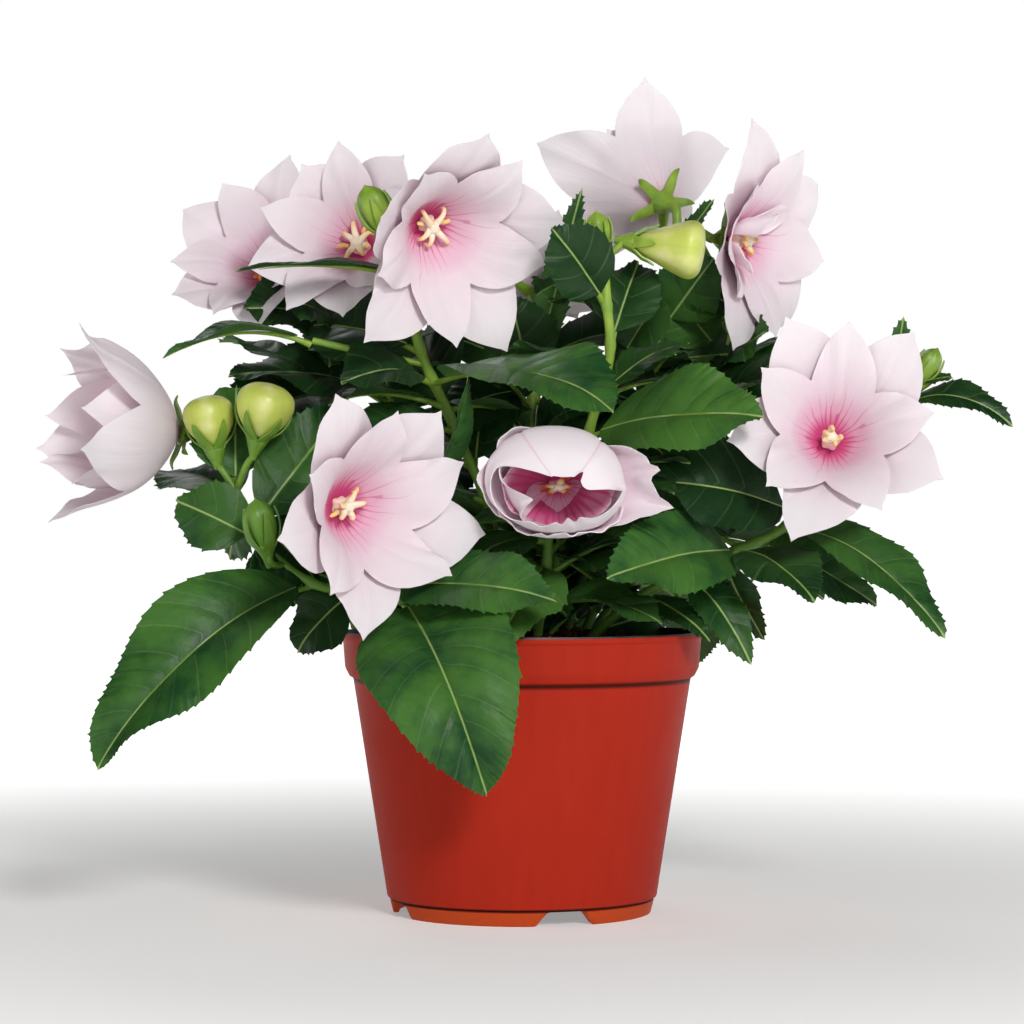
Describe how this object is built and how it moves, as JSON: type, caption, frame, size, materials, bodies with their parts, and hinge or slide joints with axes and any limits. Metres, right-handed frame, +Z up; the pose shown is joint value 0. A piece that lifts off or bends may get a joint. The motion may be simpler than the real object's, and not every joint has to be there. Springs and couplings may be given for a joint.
{
  "type": "potted balloon flower",
  "caption": "Garden perennial in a round terracotta-coloured plastic nursery pot: leafy toothed stems with double star-shaped blooms and puffed balloon buds above potting mix.",
  "frame": {"origin": "on the pot's axis, in the plane of the pot's foot, which is the surface that the pot stands on", "axes": "+Z is up along the pot's axis; +X is to the right in the front view, along the plant's widest spread; +Y is from the front to the back"},
  "size_m": [0.3204, 0.2153, 0.2806],
  "materials": {
    "pot_shell": "moulded polypropylene with a low sheen, terracotta red outside and black inside",
    "potting_mix": "loose peat and coir, dull, dark red-brown",
    "leafy_stem": "satin leaf, dark green above, with paler veins and light green stalks",
    "petals": "soft matt petal, pale pink to white with a deep pink throat and veins",
    "hearts": "soft matt, cream stigma with yellow-orange anthers",
    "balloons": "satin, yellow-green puffed bud with darker seams"
  },
  "bodies": {
    "root": {"pot": "pot_shell", "soil": "potting_mix", "stem_left": "leafy_stem", "stem_front_left": "leafy_stem", "stem_front": "leafy_stem", "stem_right": "leafy_stem", "stem_upper_right": "leafy_stem", "stem_upper_back": "leafy_stem", "stem_middle": "leafy_stem", "stem_upper_middle": "leafy_stem", "stem_upper_left": "leafy_stem", "stem_far_left": "leafy_stem", "stem_back": "leafy_stem", "stem_rear_left": "leafy_stem", "stem_rear": "leafy_stem", "stem_rear_right": "leafy_stem", "bloom_side_left": "petals", "bloom_far_left": "petals", "bloom_upper_left": "petals", "bloom_upper_middle": "petals", "bloom_upper_back": "petals", "bloom_upper_right": "petals", "bloom_right": "petals", "bloom_front_left": "petals", "bloom_front": "petals", "bloom_back": "petals", "heart_side_left": "hearts", "heart_far_left": "hearts", "heart_upper_left": "hearts", "heart_upper_middle": "hearts", "heart_upper_back": "hearts", "heart_upper_right": "hearts", "heart_right": "hearts", "heart_front_left": "hearts", "heart_front": "hearts", "heart_back": "hearts", "balloon_left": "balloons", "balloon_second": "balloons", "balloon_upper": "balloons"}
  },
  "joints": []
}
